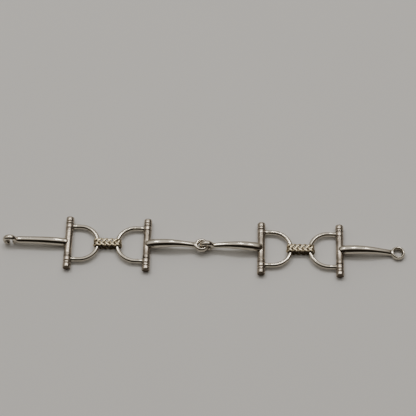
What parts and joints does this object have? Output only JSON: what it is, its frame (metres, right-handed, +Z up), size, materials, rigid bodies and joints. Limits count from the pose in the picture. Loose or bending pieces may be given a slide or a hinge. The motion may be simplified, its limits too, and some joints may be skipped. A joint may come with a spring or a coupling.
{
  "type": "snaffle bit chain bracelet",
  "caption": "Silver chain bracelet of miniature dee-ring snaffle bits joined by plaited gilt links, with a hook and an eye at its ends.",
  "frame": {"origin": "on the surface that the bracelet lies on, under the middle of its length", "axes": "+X along the bracelet from the hook to the free eye, +Y along the cheek bars, +Z up"},
  "size_m": [0.1961, 0.028, 0.007],
  "materials": {
    "polished_silver": "polished",
    "silver_wire": "polished",
    "turned_silver": "gloss",
    "gilt_plait": "gloss"
  },
  "bodies": {
    "cannon_1": {"cannon_1_hook": "polished_silver", "sleeve_1": "turned_silver"},
    "dee_1": {"pin_1": "turned_silver", "dee_wire_1": "silver_wire", "front_ferrule_1": "turned_silver", "back_ferrule_1": "turned_silver", "front_cap_1": "turned_silver", "back_cap_1": "turned_silver"},
    "link_a": {"link_a_front_strand": "gilt_plait", "link_a_middle_strand": "gilt_plait", "link_a_back_strand": "gilt_plait"},
    "dee_2": {"pin_2": "turned_silver", "dee_wire_2": "silver_wire", "front_ferrule_2": "turned_silver", "back_ferrule_2": "turned_silver", "front_cap_2": "turned_silver", "back_cap_2": "turned_silver"},
    "cannon_2": {"cannon_2": "polished_silver", "sleeve_2": "turned_silver"},
    "cannon_3": {"cannon_3": "polished_silver", "sleeve_3": "turned_silver"},
    "dee_3": {"pin_3": "turned_silver", "dee_wire_3": "silver_wire", "front_ferrule_3": "turned_silver", "back_ferrule_3": "turned_silver", "front_cap_3": "turned_silver", "back_cap_3": "turned_silver"},
    "link_b": {"link_b_front_strand": "gilt_plait", "link_b_middle_strand": "gilt_plait", "link_b_back_strand": "gilt_plait"},
    "dee_4": {"pin_4": "turned_silver", "dee_wire_4": "silver_wire", "front_ferrule_4": "turned_silver", "back_ferrule_4": "turned_silver", "front_cap_4": "turned_silver", "back_cap_4": "turned_silver"},
    "cannon_4": {"cannon_4_eye": "polished_silver", "sleeve_4": "turned_silver"}
  },
  "joints": [
    {"name": "middle_eye_joint", "type": "hinge", "parent": "cannon_3", "child": "cannon_2", "pos_m": [0.00126, 0, 0.0035], "axis": [0, 1, 0], "range_deg": [-46, 46]},
    {"name": "cheek_2_pin_joint", "type": "hinge", "parent": "cannon_2", "child": "dee_2", "pos_m": [-0.02786, 0, 0.002], "axis": [0, 1, 0], "range_deg": [-38, 38]},
    {"name": "dee_2_link_joint", "type": "hinge", "parent": "dee_2", "child": "link_a", "pos_m": [-0.04236, 0, 0.00235], "axis": [0, 1, 0], "range_deg": [-20, 20]},
    {"name": "dee_1_link_joint", "type": "hinge", "parent": "link_a", "child": "dee_1", "pos_m": [-0.05161, 0, 0.00235], "axis": [0, 1, 0], "range_deg": [-20, 20]},
    {"name": "cheek_1_pin_joint", "type": "hinge", "parent": "dee_1", "child": "cannon_1", "pos_m": [-0.0661, 0, 0.002], "axis": [0, 1, 0], "range_deg": [-38, 38]},
    {"name": "cheek_3_pin_joint", "type": "hinge", "parent": "cannon_3", "child": "dee_3", "pos_m": [0.02786, 0, 0.002], "axis": [0, -1, 0], "range_deg": [-38, 38]},
    {"name": "dee_3_link_joint", "type": "hinge", "parent": "dee_3", "child": "link_b", "pos_m": [0.04236, 0, 0.00235], "axis": [0, -1, 0], "range_deg": [-20, 20]},
    {"name": "dee_4_link_joint", "type": "hinge", "parent": "link_b", "child": "dee_4", "pos_m": [0.05161, 0, 0.00235], "axis": [0, -1, 0], "range_deg": [-20, 20]},
    {"name": "cheek_4_pin_joint", "type": "hinge", "parent": "dee_4", "child": "cannon_4", "pos_m": [0.0661, 0, 0.002], "axis": [0, -1, 0], "range_deg": [-38, 38]}
  ]
}
